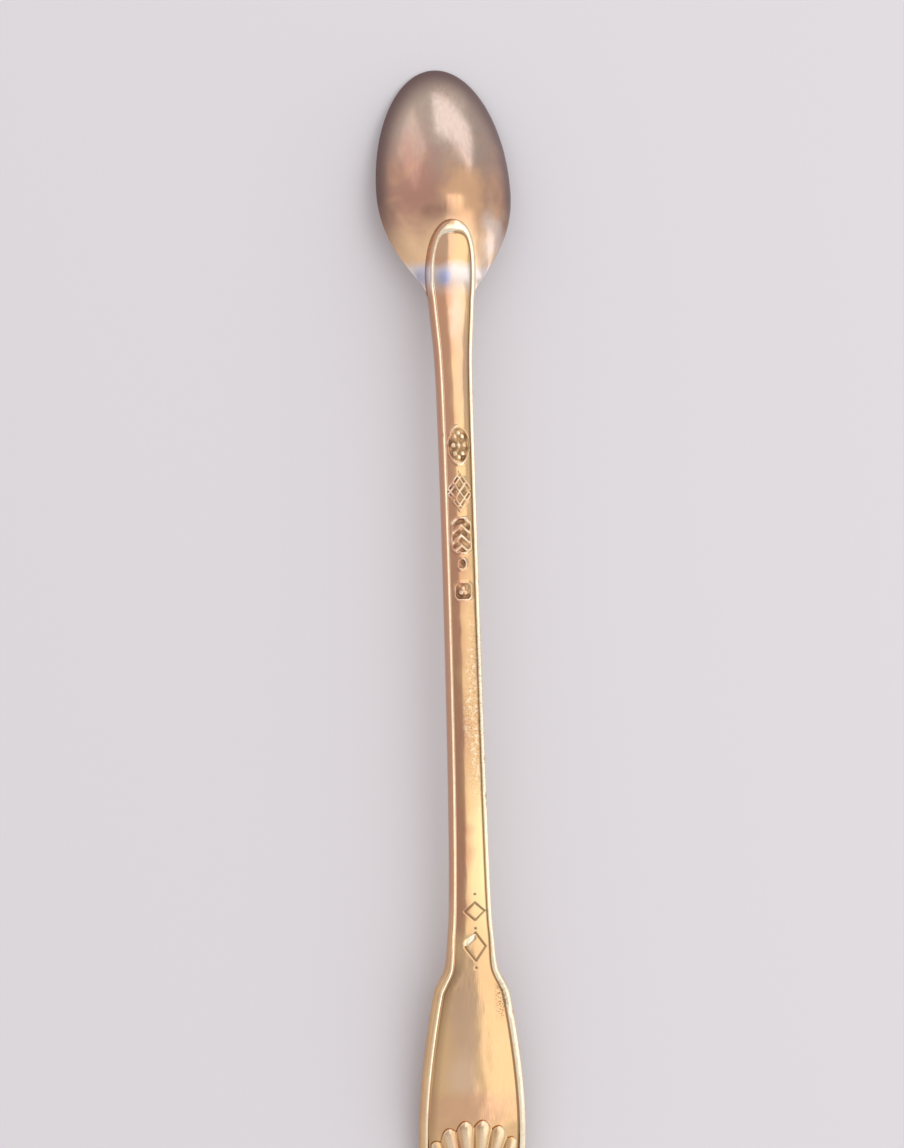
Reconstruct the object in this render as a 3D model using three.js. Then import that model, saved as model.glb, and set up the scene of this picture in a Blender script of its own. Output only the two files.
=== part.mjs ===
// A long-handled medicine spoon in the fiddle, thread and shell pattern, in silver-gilt.
// The bowl is raised from sheet. The handle is forged in one bar, with a thread along its edges,
// and ends in a tongue that is lapped over the back of the bowl and silver-soldered to it.
// A cast shell is soldered on each face of the handle's flat end.
//
// The spoon lies face down, as it is laid on a table, resting on the tip of the bowl and the end
// of the handle. Millimetres: +Y runs from the handle's end to the bowl's tip, +Z is up, out of
// the back of the spoon, and the origin is on the table under the middle of its length.

import * as THREE from "three";
import { mergeVertices } from "three/addons/utils/BufferGeometryUtils.js";

// Overall
const LENGTH = 200;

// Bowl
const BOWL_WIDTH = 23.3;
const BOWL_NOSE = 21.3; // from the tip to the widest section
const BOWL_SHOULDER = 18.2; // from the widest section to the end of the tang
const BOWL_DEPTH = 6.8; // height of the back above the rim
const BOWL_WALL = 0.9;
const RIM_LEVELLING = 12; // length over which the rim leaves its plane to level off at the tang
const NECK_LIFT = 6.4; // height of the tang's underside above the table

// Solder seams
const SOLDER_FILM = 0.14; // between the bowl's back and the handle's tongue
const SOLDER_CLEARANCE = 0.11; // on each side of the film
const SOLDER_INSET = 0.4; // the film stops short of the tongue's edge
const SHELL_SEAM = 0.12; // room for solder under each shell

// Tongue, the lapped end of the handle
const TONGUE_WIDTH = 8.5;
const TONGUE_SWELL = 4.3; // length from the neck to the full width
const TONGUE_ARCH = 8.9; // length of the rounded end
const TONGUE_ROOT = 1.6; // thickness at the neck
const TONGUE_TIP = 0.75; // thickness at the rounded end

// Stem
const NECK_WIDTH = 7.86;
const WAIST_WIDTH = 6.14;
const WAIST_FROM_NECK = 42; // neck to the narrowest section
const STEM_FOOT_WIDTH = 7.8; // where the stem starts to spread into the shoulders
const STEM_THICKNESS = 2.5;
const ARCH_RISE = 7.5; // underside of the stem above the table
const END_RISE = 8.7; // height of the curve's pull before the flat end turns down to the table

// Fiddle-shaped flat end
const FIDDLE_LENGTH = 43.7; // shoulder points to the end
const FIDDLE_WIDTH = 18.6;
const FIDDLE_WIDEST = 19.4; // from the end to the widest section
const FIDDLE_THICKNESS = 1.9;
const SHOULDER_WIDTH = 12.8;
const SHOULDER_SPREAD = 9.9; // length over which the stem spreads to the shoulders

// Thread along the edges
const EDGE_ROUND = 0.45; // width of the rounding of the outer edge
const THREAD_CREST = 0.4; // width of the thread's top
const THREAD_STEP = 0.2; // width of the sloping inner side of the thread
const THREAD_DEPTH = 0.3;
const FIDDLE_THREAD = 1.5; // width of the whole thread on the fiddle end, where it is broader
const HEEL_THREAD = 2.1; // width of the thread at the tongue's rounded end
const HEEL_TURN = 2; // run over which the thread's inner line turns there
const FIELD_CROWN = 0.3; // swell of the field between the threads
const FACE_THREAD_FADE = 6; // length over which the front's thread dies out before the bowl

// Shells
const SHELL_LENGTH = 19.4; // hinge to the tip of the middle lobes
const SHELL_FAN = 100; // angle of the whole fan, in degrees
const SHELL_LOBES = 10;
const SHELL_MARGIN = 0.35; // between the shell and the thread
const SHELL_RELIEF = 0.8; // height of the lobes
const SHELL_EDGE = 0.25; // thickness at the rim of the casting
const LOBE_NOTCH_SHARE = 0.065; // depth of the notches between lobe tips, as a share of their length

const heelSeam = SOLDER_FILM + 2 * SOLDER_CLEARANCE;
const threadWidth = EDGE_ROUND + THREAD_CREST + THREAD_STEP;
const neckThickness = BOWL_WALL + heelSeam + TONGUE_ROOT;

// Places along the spoon
const tipY = LENGTH / 2;
const endY = -LENGTH / 2;
const widestY = tipY - BOWL_NOSE;
const tangEndY = widestY - BOWL_SHOULDER;
const neckY = tangEndY - heelSeam; // the step in the handle that the tang butts against
const tongueY = neckY + TONGUE_SWELL;
const heelY = tongueY + TONGUE_ARCH;
const waistY = neckY - WAIST_FROM_NECK;
const shoulderY = endY + FIDDLE_LENGTH;
const stemFootY = shoulderY + SHOULDER_SPREAD;
const fiddleWidestY = endY + FIDDLE_WIDEST;
const hingeY = endY + FIDDLE_THREAD + SHELL_MARGIN;

const BUTT_STEP = 0.05; // run of the upright step that the tang butts against
const CURVE_POINTS = 10; // points on each curve of an outline
const BOWL_CURVE_POINTS = 14;
const BOWL_STEPS = 20; // facets across the bowl
const SOLDER_STEPS = 16;
const DOME_SHARE = 0.8; // power of the bowl's section: 1 a parabola, 0.5 an ellipse
const RIM_TURN_SHARE = 0.45; // share of the shoulder where the flat rim starts to turn upright
const EDGE_LINE_SHARE = 0.3; // height of the outermost line of the stem's side
const SPINE_STOP_SHARE = 0.4; // where the middle line stops before a rounded end, as a share of the width
const LOBE_ROUND_SHARE = 0.9; // 1 a half round with grooves down to the edge's thickness
const HINGE_SHARE = 0.45; // the lobes' height at the hinge, as a share of the full height
const HALVINGS = 20;
const LOBE_STEPS = [-1, -0.55, 0, 0.55]; // places across a lobe, from groove to groove
const SHELL_ROWS = [0.06, 0.22, 0.42, 0.62, 0.78, 0.9, 0.97, 1]; // places from hinge to lobe tip

const { lerp, smoothstep, clamp } = THREE.MathUtils;

// A cubic through a and d that is pulled towards b and c, at t from 0 to 1.
function cubic(t, a, b, c, d) {
  const u = 1 - t;
  return a * u ** 3 + 3 * b * u * u * t + 3 * c * u * t * t + d * t ** 3;
}

// One closed mesh from grids of points, each a list of rows, that share their borders.
// Seen from outside, the points of a row run to the right where the next row lies above it.
function closedGeometry(...grids) {
  const corners = [];
  for (const rows of grids) {
    for (let i = 0; i + 1 < rows.length; i++) {
      for (let j = 0; j + 1 < rows[i].length; j++) {
        const [a, b] = [rows[i][j], rows[i][j + 1]];
        const [c, d] = [rows[i + 1][j + 1], rows[i + 1][j]];
        corners.push(a, b, c, a, c, d);
      }
    }
  }
  const merged = mergeVertices(new THREE.BufferGeometry().setFromPoints(corners));
  const faces = [];
  for (let i = 0; i < merged.index.count; i += 3) {
    const [a, b, c] = [0, 1, 2].map((k) => merged.index.getX(i + k));
    if (a !== b && b !== c && c !== a) faces.push(a, b, c);
  }
  merged.setIndex(faces);
  merged.computeVertexNormals();
  return merged;
}

// A path through points, with a curve or a straight line from each one to the next. A curve's two
// handles, leave and arrive, stand at shares, across and along, of the way to the next point.
function smoothPath(points) {
  const path = new THREE.Path().moveTo(points[0].x, points[0].y);
  for (let i = 0; i + 1 < points.length; i++) {
    const [from, to] = [points[i], points[i + 1]];
    const handle = ([across, along]) => [lerp(from.x, to.x, across), lerp(from.y, to.y, along)];
    if (from.straight) path.lineTo(to.x, to.y);
    else path.bezierCurveTo(...handle(from.leave), ...handle(from.arrive), to.x, to.y);
  }
  return path;
}

// Half-width of a plan, given as points in order of y, at one place along it.
function widthAt(edge, y) {
  const i = edge.findIndex((p, k) => k > 0 && p.y >= y);
  if (i < 0) return edge.at(-1).x;
  const [a, b] = [edge[i - 1], edge[i]];
  return lerp(a.x, b.x, clamp((y - a.y) / (b.y - a.y || 1), 0, 1));
}

const turned = (rows) => rows.map((row) => row.toReversed());
const mirrored = (rows) => rows.map((row) => row.map((p) => new THREE.Vector3(-p.x, p.y, p.z)));

// Bowl

// Right half of the bowl's plan, from the tang: an S curve up to the full width, then the nose.
const bowlEdge = smoothPath([
  { x: NECK_WIDTH / 2, y: tangEndY, leave: [0, 0.15], arrive: [1, 0.42] },
  { x: BOWL_WIDTH / 2, y: widestY },
])
  .absellipse(0, widestY, BOWL_WIDTH / 2, BOWL_NOSE, 0, Math.PI / 2, false)
  .getPoints(BOWL_CURVE_POINTS);

// The rim climbs from the tip in one plane, then levels off into the line of the stem.
function rimHeight(y) {
  const run = tipY - y;
  const straight = tipY - tangEndY - RIM_LEVELLING;
  const slope = NECK_LIFT / (straight + RIM_LEVELLING / 2);
  const past = Math.max(0, run - straight);
  return slope * (run - (past * past) / (2 * RIM_LEVELLING));
}

// 0 where the edge is a flat rim, 1 at the tang, where it is the upright edge of a strap.
function tangShare(y) {
  return smoothstep((widestY - y) / BOWL_SHOULDER, RIM_TURN_SHARE, 1);
}

// Height of a domed wall over its rim: over the nose it falls away to nothing, over the
// shoulders it flows into the flat strap of the tang.
function dome(x, y, half, nose, depth, strap) {
  const shoulder = clamp((widestY - y) / BOWL_SHOULDER, 0, 1);
  const past = clamp((y - widestY) / nose, 0, 1);
  const fall = (1 + Math.cos(Math.PI * shoulder)) / 2;
  const middle = lerp(strap, depth, fall) * (1 - past * past) ** DOME_SHARE;
  const across = clamp(x / half, -1, 1);
  return lerp(strap * tangShare(y), middle, (1 - across * across) ** DOME_SHARE);
}

// Height of the bowl's back over a point of its plan.
function bowlBack(x, y) {
  const half = widthAt(bowlEdge, y);
  return rimHeight(y) + dome(x, y, half, BOWL_NOSE, BOWL_DEPTH, BOWL_WALL);
}

function bowlGeometry() {
  const across = Array.from({ length: BOWL_STEPS + 1 }, (_, i) => Math.cos((Math.PI * i) / BOWL_STEPS));
  const outside = bowlEdge.map(({ x, y }) =>
    across.map((t) => {
      const z = rimHeight(y) + dome(t, y, 1, BOWL_NOSE, BOWL_DEPTH, BOWL_WALL);
      return new THREE.Vector3(t * x, y, z);
    }),
  );
  const inside = bowlEdge.map(({ x, y }) => {
    const nose = BOWL_NOSE - BOWL_WALL;
    const innerY = y < widestY ? y : widestY + ((y - widestY) / BOWL_NOSE) * nose;
    const narrowing = (BOWL_WIDTH / 2 - BOWL_WALL) / (BOWL_WIDTH / 2);
    const innerX = y < widestY ? x - BOWL_WALL * (1 - tangShare(y)) : x * narrowing;
    return across.map((t) => {
      const z = rimHeight(innerY) + dome(t, innerY, 1, nose, BOWL_DEPTH - BOWL_WALL, 0);
      return new THREE.Vector3(t * innerX, innerY, z);
    });
  });
  const edgeOf = (rows, k) => rows.map((row) => row.at(k));
  return closedGeometry(
    turned(outside),
    inside,
    turned([edgeOf(outside, 0), edgeOf(inside, 0)]),
    [edgeOf(outside, -1), edgeOf(inside, -1)],
    [outside[0], inside[0]],
  );
}

// Handle

// Right half of the handle's plan, from the middle of its end to the tip of the tongue.
const handleEdge = smoothPath([
  { x: 0, y: endY, leave: [0.68, 0], arrive: [1, 0.25] },
  { x: FIDDLE_WIDTH / 2, y: fiddleWidestY, leave: [0, 0.41], arrive: [0.93, 0.99] },
  { x: SHOULDER_WIDTH / 2, y: shoulderY, leave: [0.81, 0.42], arrive: [0.74, 0.2] },
  { x: STEM_FOOT_WIDTH / 2, y: stemFootY, leave: [0.9, 0.07], arrive: [1, 0.9] },
  { x: WAIST_WIDTH / 2, y: waistY, leave: [0, 0.9], arrive: [0.13, 0.72] },
  { x: NECK_WIDTH / 2, y: neckY, straight: true },
  { x: NECK_WIDTH / 2, y: neckY + BUTT_STEP, leave: [0.6, 0.35], arrive: [1, 0.65] },
  { x: TONGUE_WIDTH / 2, y: tongueY, leave: [0, 0.66], arrive: [0.38, 1] },
  { x: 0, y: heelY },
]).getPoints(CURVE_POINTS);
const halfWidth = (y) => widthAt(handleEdge, y);

// Lowest surface of the handle, on its front: it leaves the neck almost level, runs along the
// arch and turns down to the table at the end.
function faceHeight(y) {
  if (y > waistY) {
    const t = (neckY - y) / (neckY - waistY);
    return cubic(t, NECK_LIFT, lerp(NECK_LIFT, ARCH_RISE, 0.45), ARCH_RISE, ARCH_RISE);
  }
  const t = (waistY - y) / (waistY - endY);
  return cubic(t, ARCH_RISE, ARCH_RISE, END_RISE, 0);
}

function stemThickness(y) {
  if (y > waistY) {
    return lerp(STEM_THICKNESS, neckThickness, smoothstep(y, waistY, neckY));
  }
  return lerp(FIDDLE_THICKNESS, STEM_THICKNESS, smoothstep(y, endY, waistY));
}

// Top of the thread on the back: along the stem, and over the bowl on the tongue.
function backCrest(x, y) {
  if (y <= neckY) return faceHeight(y) + stemThickness(y);
  const thickness = lerp(TONGUE_ROOT, TONGUE_TIP, (y - neckY) / (heelY - neckY));
  return bowlBack(x, y) + heelSeam + thickness;
}

// Width of the thread at a place along the handle.
function threadAt(y) {
  return lerp(FIDDLE_THREAD, threadWidth, smoothstep(y, shoulderY, stemFootY));
}

// Swell of the field between the threads, dying out at the rounded ends.
function crown(x, y) {
  const field = halfWidth(y) - threadAt(y);
  if (Math.abs(x) >= field) return 0;
  const fiddleEnd = smoothstep(y - endY, 0, FIDDLE_WIDTH / 2);
  const tongueEnd = smoothstep(heelY - y, 0, TONGUE_ARCH);
  return FIELD_CROWN * fiddleEnd * tongueEnd * (1 - (x / field) ** 2);
}

// Field on the back (side 1) and on the front (side -1) of the handle, between the threads.
function fieldHeight(side, x, y) {
  if (side > 0) return backCrest(x, y) - THREAD_DEPTH + crown(x, y);
  const depth = smoothstep(neckY - y, 0, FACE_THREAD_FADE);
  return faceHeight(y) + depth * (THREAD_DEPTH - crown(x, y));
}

const frontCrest = (x, y) => (y <= neckY ? faceHeight(y) : bowlBack(x, y) + heelSeam);
const frontField = (x, y) => (y <= neckY ? fieldHeight(-1, x, y) : frontCrest(x, y));

// The outermost line of the edge: low on the stem's side, at the foot of the tongue's side.
function edgeLine(x, y) {
  const share = y <= neckY ? EDGE_LINE_SHARE : 0;
  return lerp(frontCrest(x, y), backCrest(x, y), share);
}

// The points of one rib, from a point of the handle's edge in to its middle line.
function rib(i, crest, field) {
  const [before, at, after] = [-1, 0, 1].map((k) => handleEdge[clamp(i + k, 0, handleEdge.length - 1)]);
  const inward = new THREE.Vector2(before.y - after.y, after.x - before.x).normalize();
  if (at.x === 0) inward.set(0, -Math.sign(at.y));
  const broadening = threadAt(at.y) / threadWidth;
  const place = (depth) => {
    const p = at.clone().addScaledVector(inward, depth * broadening);
    const past = Math.max(0, depth - EDGE_ROUND) / (threadWidth - EDGE_ROUND);
    const limit = heelY - lerp(Math.min(depth, EDGE_ROUND), HEEL_THREAD, past);
    const turn = Math.max(0, HEEL_TURN * past - Math.abs(p.y - limit));
    p.y = Math.min(p.y, limit) - (turn * turn) / (4 * HEEL_TURN);
    return p;
  };
  const step = place(threadWidth);
  const spineLow = endY + SPINE_STOP_SHARE * FIDDLE_WIDTH;
  const spineHigh = heelY - SPINE_STOP_SHARE * TONGUE_WIDTH;
  const spine = new THREE.Vector2(0, clamp(step.y, spineLow, spineHigh));

  const rounding = [0, Math.PI / 4, Math.PI / 2].map((angle) => {
    const p = place(EDGE_ROUND * (1 - Math.cos(angle)));
    const height = lerp(edgeLine(p.x, p.y), crest(p.x, p.y), Math.sin(angle));
    return new THREE.Vector3(p.x, p.y, height);
  });
  const top = place(threadWidth - THREAD_STEP);
  const inside = [0, 1 / 3, 2 / 3, 1].map((t) => {
    const p = step.clone().lerp(spine, t);
    return new THREE.Vector3(p.x, p.y, field(p.x, p.y));
  });
  return [...rounding, new THREE.Vector3(top.x, top.y, crest(top.x, top.y)), ...inside];
}

function handleGeometry() {
  const backField = (x, y) => fieldHeight(1, x, y);
  const back = handleEdge.map((_, i) => rib(i, backCrest, backField));
  const front = handleEdge.map((_, i) => rib(i, frontCrest, frontField));
  const right = [turned(back), front];
  return closedGeometry(...right, ...right.map((rows) => turned(mirrored(rows))));
}

// Solder film between the tongue and the bowl

function solderGeometry() {
  const across = [1, 0.75, 0.5, 0.25, 0, -0.25, -0.5, -0.75, -1];
  const layer = (lift) =>
    Array.from({ length: SOLDER_STEPS + 1 }, (_, i) => {
      const y = lerp(tangEndY, heelY - SOLDER_INSET, i / SOLDER_STEPS);
      const half = Math.min(halfWidth(y), widthAt(bowlEdge, y)) - SOLDER_INSET;
      return across.map((t) => new THREE.Vector3(t * half, y, bowlBack(t * half, y) + lift));
    });
  const upper = layer(SOLDER_CLEARANCE + SOLDER_FILM);
  const lower = layer(SOLDER_CLEARANCE);
  const edgeOf = (rows, k) => rows.map((row) => row.at(k));
  return closedGeometry(
    turned(upper),
    lower,
    [edgeOf(lower, 0), edgeOf(upper, 0)],
    turned([edgeOf(lower, -1), edgeOf(upper, -1)]),
    turned([lower[0], upper[0]]),
    [lower.at(-1), upper.at(-1)],
  );
}

// Shells

// Length of the shell from its hinge at an angle from the handle's middle line: an oval, or less
// where the thread leaves less room.
function shellReach(angle) {
  const [along, across] = [Math.cos(angle) / SHELL_LENGTH, Math.sin(angle) / FIDDLE_WIDTH];
  const oval = Math.cos(angle) / SHELL_LENGTH / (along * along + across * across);
  const room = (reach) => {
    const x = reach * Math.sin(Math.abs(angle));
    const y = hingeY + reach * Math.cos(angle);
    return halfWidth(y) - FIDDLE_THREAD - SHELL_MARGIN - x;
  };
  let [short, long] = [0, oval];
  if (room(oval) >= 0) return oval;
  for (let i = 0; i < HALVINGS; i++) {
    const middle = (short + long) / 2;
    if (room(middle) >= 0) short = middle;
    else long = middle;
  }
  return short;
}

function shellGeometry(side) {
  const lobeAngle = THREE.MathUtils.degToRad(SHELL_FAN) / SHELL_LOBES;
  const columns = [];
  for (let lobe = 0; lobe < SHELL_LOBES; lobe++) {
    for (const across of LOBE_STEPS) columns.push({ lobe, across });
  }
  columns.push({ lobe: SHELL_LOBES - 1, across: 1 });

  const top = [];
  const seat = [];
  for (const { lobe, across } of columns) {
    const angle = (lobe - SHELL_LOBES / 2 + (across + 1) / 2) * lobeAngle;
    const reach = shellReach(angle) * (1 - LOBE_NOTCH_SHARE * across * across);
    const round = Math.sqrt(1 - LOBE_ROUND_SHARE * across * across);
    const topColumn = [];
    const seatColumn = [];
    for (const row of SHELL_ROWS) {
      const x = row * reach * Math.sin(angle);
      const y = hingeY + row * reach * Math.cos(angle);
      const swell = round * lerp(HINGE_SHARE, 1, row) * Math.sqrt(1 - row ** 8);
      const base = fieldHeight(side, x, y) + side * SHELL_SEAM;
      const height = lerp(SHELL_EDGE, SHELL_RELIEF, swell);
      topColumn.push(new THREE.Vector3(x, y, base + side * height));
      seatColumn.push(new THREE.Vector3(x, y, base));
    }
    top.push(topColumn);
    seat.push(seatColumn);
  }
  const rimOf = (grid, k) => grid.map((column) => column.at(k));
  const grids = [
    turned(top),
    seat,
    [top[0], seat[0]],
    turned([top.at(-1), seat.at(-1)]),
    [rimOf(top, -1), rimOf(seat, -1)],
    turned([rimOf(top, 0), rimOf(seat, 0)]),
  ];
  return closedGeometry(...(side > 0 ? grids : grids.map(turned)));
}

// Assembly

const gilt = { color: 0xd9ae7e, metalness: 1, roughness: 0.28 };
const wornGilt = { color: 0xc0a292, metalness: 1, roughness: 0.34 };
const solder = { color: 0xb9a58f, metalness: 1, roughness: 0.5 };

function piece(name, geometry, finish) {
  const mesh = new THREE.Mesh(geometry, new THREE.MeshStandardMaterial(finish));
  mesh.name = name;
  return mesh;
}

const spoon = new THREE.Group();
spoon.add(piece("bowl", bowlGeometry(), wornGilt));
spoon.add(piece("handle", handleGeometry(), gilt));
spoon.add(piece("heel_solder", solderGeometry(), solder));
spoon.add(piece("shell_back", shellGeometry(1), gilt));
spoon.add(piece("shell_front", shellGeometry(-1), gilt));

export default spoon;
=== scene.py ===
import math

import bmesh
import bpy
import numpy as np
from mathutils import Matrix, Vector, noise
from mathutils.geometry import interpolate_bezier


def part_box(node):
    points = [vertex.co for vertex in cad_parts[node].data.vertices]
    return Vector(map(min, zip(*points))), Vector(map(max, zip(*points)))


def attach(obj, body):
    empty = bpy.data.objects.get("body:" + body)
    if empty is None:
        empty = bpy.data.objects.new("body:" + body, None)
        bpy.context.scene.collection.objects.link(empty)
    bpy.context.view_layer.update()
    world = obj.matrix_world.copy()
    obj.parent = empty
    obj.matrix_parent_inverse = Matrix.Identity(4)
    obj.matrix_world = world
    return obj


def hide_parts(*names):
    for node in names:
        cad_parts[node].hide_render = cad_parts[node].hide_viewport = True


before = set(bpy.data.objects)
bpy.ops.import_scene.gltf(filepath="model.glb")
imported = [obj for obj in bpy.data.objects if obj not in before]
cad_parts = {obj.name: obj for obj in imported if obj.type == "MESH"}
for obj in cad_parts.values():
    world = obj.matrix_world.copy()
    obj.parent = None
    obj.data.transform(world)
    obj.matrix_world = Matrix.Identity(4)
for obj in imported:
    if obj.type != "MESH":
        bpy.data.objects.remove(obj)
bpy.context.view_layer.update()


# Bowl
# A small egg-shaped bowl raised by hammer from one disc of silver and gilded all over. Its rim is
# filed flat, and at the neck its wall runs out into a flat tang that the handle is soldered on.
# Use and polishing have thinned its gilding, so that grey-pink silver shows through.

MM = 0.001  # the sizes below are in millimetres
bowl_low, bowl_high = (np.array(corner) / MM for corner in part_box("bowl"))
tip_y, tang_y = bowl_high[1], bowl_low[1]
bowl_half_width = bowl_high[0]
BOWL_NOSE = 21.3  # tip to the widest section
BOWL_DEPTH = 6.8
BOWL_WALL = 0.9
TANG_HALF_WIDTH = 3.93
NECK_LIFT = 6.4  # underside of the tang above the table
RIM_LEVELLING = 12.0  # length over which the rim leaves its plane to level off at the tang
RIM_TURN = 0.45  # share of the shoulder where the flat rim starts to turn upright
RIM_EASE = 0.16  # width of the worn edges of the rim
SHARP_TURN = math.radians(40)  # the edges that are eased turn by more than this
DOME_POWER = 0.8  # 1 is a parabola, 0.5 an ellipse
HAMMER_SIZE = 5.0  # spacing of the faint hollows that planishing leaves
HAMMER_DEPTH = 0.04
EDGE_SHADE_FROM = 0.75  # share of the way out to the edge where the painted shade of the rim starts
MERGE_GAP = 0.001  # points nearer than this are one point
TINY = 1e-6  # a length that makes no difference
widest_y = tip_y - BOWL_NOSE
shoulder = widest_y - tang_y


def smoothstep(value, start, end):
    t = min(1.0, max(0.0, (value - start) / (end - start)))
    return t * t * (3 - 2 * t)


def curve_through(points, steps):
    """Plan points of a chain of curves. Each point is (x, y, leave, arrive): the last two are the
    places of the two handles as shares, across and along, of the way to the next point."""
    chain = []
    for (x0, y0, leave, arrive), (x1, y1, *_) in zip(points, points[1:]):
        way = Vector((x1 - x0, y1 - y0))
        start = Vector((x0, y0))
        handles = [start + Vector((way.x * a, way.y * b)) for a, b in (leave, arrive)]
        chain += interpolate_bezier(start, *handles, start + way, steps)[:-1]
    chain.append(Vector(points[-1][:2]))
    return np.array(chain)


# Right half of the plan: an S curve from the tang to the full width, then a half-ellipse nose.
SIDE_STEPS = 60
shoulder_line = curve_through(
    [(TANG_HALF_WIDTH, tang_y, (0, 0.15), (1, 0.42)), (bowl_half_width, widest_y)], SIDE_STEPS
)
nose_angles = np.linspace(0, math.pi / 2, SIDE_STEPS)[1:]
nose_line = np.stack(
    [bowl_half_width * np.cos(nose_angles), widest_y + BOWL_NOSE * np.sin(nose_angles)], axis=1
)
nose_line[-1] = 0, tip_y
bowl_side = np.vstack([shoulder_line, nose_line])


def bowl_half(y):
    """Half-width of the bowl."""
    return np.interp(y, bowl_side[:, 1], bowl_side[:, 0])


def rim_height(y):
    """Height of the rim: one plane up from the tip, which levels off at the tang."""
    run = tip_y - y
    straight = tip_y - tang_y - RIM_LEVELLING
    slope = NECK_LIFT / (straight + RIM_LEVELLING / 2)
    past = max(0.0, run - straight)
    return slope * (run - past * past / (2 * RIM_LEVELLING))


def tang_share(y):
    """How far the edge has turned from the flat rim to the tang's upright side, from 0 to 1."""
    return smoothstep((widest_y - y) / shoulder, RIM_TURN, 1)


def dome(across, y, nose, depth, strap):
    """Height of a domed wall over the rim, at a share across its half-width."""
    fall = (1 + math.cos(math.pi * min(1.0, max(0.0, (widest_y - y) / shoulder)))) / 2
    past = min(1.0, max(0.0, (y - widest_y) / nose))
    middle = (strap + (depth - strap) * fall) * (1 - past * past) ** DOME_POWER
    edge = strap * tang_share(y)
    across = min(1.0, abs(across))
    return edge + (middle - edge) * (1 - across * across) ** DOME_POWER


def bowl_back(x, y):
    """Height of the bowl's back."""
    half = max(bowl_half(y), TINY)
    return rim_height(y) + dome(x / half, y, BOWL_NOSE, BOWL_DEPTH, BOWL_WALL)


def sheet(across, along, place):
    """A grid whose point (i, j) stands where place(i, j) says, as x, y and z in millimetres and
    a tone that paints light and wear: 1 is a painted highlight on a lit or rubbed edge, -1 painted
    shade in a recess or at the bowl's rim. Points that meet merge."""
    bm = bmesh.new()
    tone = bm.verts.layers.float.new("tone")
    bmesh.ops.create_grid(bm, x_segments=across - 1, y_segments=along - 1, size=1)
    for v in bm.verts:
        i = round((v.co.x + 1) / 2 * (across - 1))
        j = round((v.co.y + 1) / 2 * (along - 1))
        x, y, z, v[tone] = place(i, j)
        v.co = Vector((x, y, z)) * MM
    bmesh.ops.remove_doubles(bm, verts=bm.verts, dist=MERGE_GAP * MM)
    bmesh.ops.dissolve_degenerate(bm, edges=bm.edges, dist=MERGE_GAP / 2 * MM)
    return bm


def finished(name, bm):
    """An object of that mesh, closed, facing outwards and shaded smooth."""
    open_edges = [e for e in bm.edges if e.is_boundary]
    if open_edges:
        bmesh.ops.holes_fill(bm, edges=open_edges, sides=0)
    bmesh.ops.recalc_face_normals(bm, faces=bm.faces)
    for face in bm.faces:
        face.smooth = True
    mesh = bpy.data.meshes.new(name)
    bm.to_mesh(mesh)
    bm.free()
    piece = bpy.data.objects.new(name, mesh)
    bpy.context.scene.collection.objects.link(piece)
    return piece


# The wall is one skin: from the deepest point of the back out to the edge, under the rim and back
# over the inside. Each ray of the plan pairs a point of the outer edge with one of the inner edge.
TANG_POINTS = 15
tang_end = [(TANG_HALF_WIDTH * t, tang_y) for t in np.linspace(-1, 1, TANG_POINTS)[1:-1]]
bowl_plan = np.array([*bowl_side, *(bowl_side[-2::-1] * (-1, 1)), *tang_end, bowl_side[0]])


def inner_half(y):
    """Half-width of the bowl's hollow."""
    if y < widest_y:
        return bowl_half(y) - BOWL_WALL * (1 - tang_share(y))
    past = min(1.0, (y - widest_y) / (BOWL_NOSE - BOWL_WALL))
    return (bowl_half_width - BOWL_WALL) * math.sqrt(1 - past * past)


def inner_edge(x, y):
    """Point of the inner edge that goes with a point of the outer edge."""
    if y < widest_y:
        return x * inner_half(y) / bowl_half(y), y
    narrowing = (bowl_half_width - BOWL_WALL) / bowl_half_width
    return x * narrowing, widest_y + (y - widest_y) * (BOWL_NOSE - BOWL_WALL) / BOWL_NOSE


RINGS = 56
ring_shares = np.sin(np.linspace(0, math.pi / 2, RINGS))


def bowl_point(i, j):
    """Point on ray i: the rings of the back from the middle out, then those of the inside back in.
    The hammer's ripple fades out towards the edge."""
    x, y = bowl_plan[i]
    if j < RINGS:
        f = ring_shares[j]
        x, y = f * x, widest_y + f * (y - widest_y)
        ripple = HAMMER_DEPTH * noise.noise(Vector((x, y, 0)) / HAMMER_SIZE) * (1 - f**4)
        # The tone darkens the back towards its edge: painted shade for the dark reflections at the
        # rim.
        return x, y, bowl_back(x, y) + ripple, -smoothstep(f, EDGE_SHADE_FROM, 1.0)
    x, y = inner_edge(x, y)
    f = ring_shares[2 * RINGS - 1 - j]
    x, y = f * x, widest_y + f * (y - widest_y)
    depth = BOWL_DEPTH - BOWL_WALL
    half = max(inner_half(y), TINY)
    return x, y, rim_height(y) + dome(x / half, y, BOWL_NOSE - BOWL_WALL, depth, 0), 0.0


bm = sheet(len(bowl_plan), 2 * RINGS, bowl_point)
sharp = [e for e in bm.edges if len(e.link_faces) == 2 and e.calc_face_angle() > SHARP_TURN]
bmesh.ops.bevel(
    bm, geom=sharp, offset=RIM_EASE * MM, affect="EDGES", segments=3, profile=0.5, material=-1,
    clamp_overlap=True,
)
bowl = finished("bowl_skin", bm)


def linear(code):
    """Linear colour of an sRGB hex code."""
    channels = [int(code[k:k + 2], 16) / 255 for k in (1, 3, 5)]
    return [c / 12.92 if c <= 0.04045 else ((c + 0.055) / 1.055) ** 2.4 for c in channels] + [1]


def add(tree, kind, inputs=(), out=0, **settings):
    """Adds a node with its settings, its inputs given as values or as sockets to link. Gives the
    socket of the output that out names."""
    made = tree.nodes.new("ShaderNode" + kind)
    for key, value in settings.items():
        setattr(made, key, value)
    for key, value in dict(inputs).items():
        if isinstance(value, bpy.types.NodeSocket):
            tree.links.new(value, made.inputs[key])
        else:
            made.inputs[key].default_value = value
    return made.outputs[out]


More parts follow.
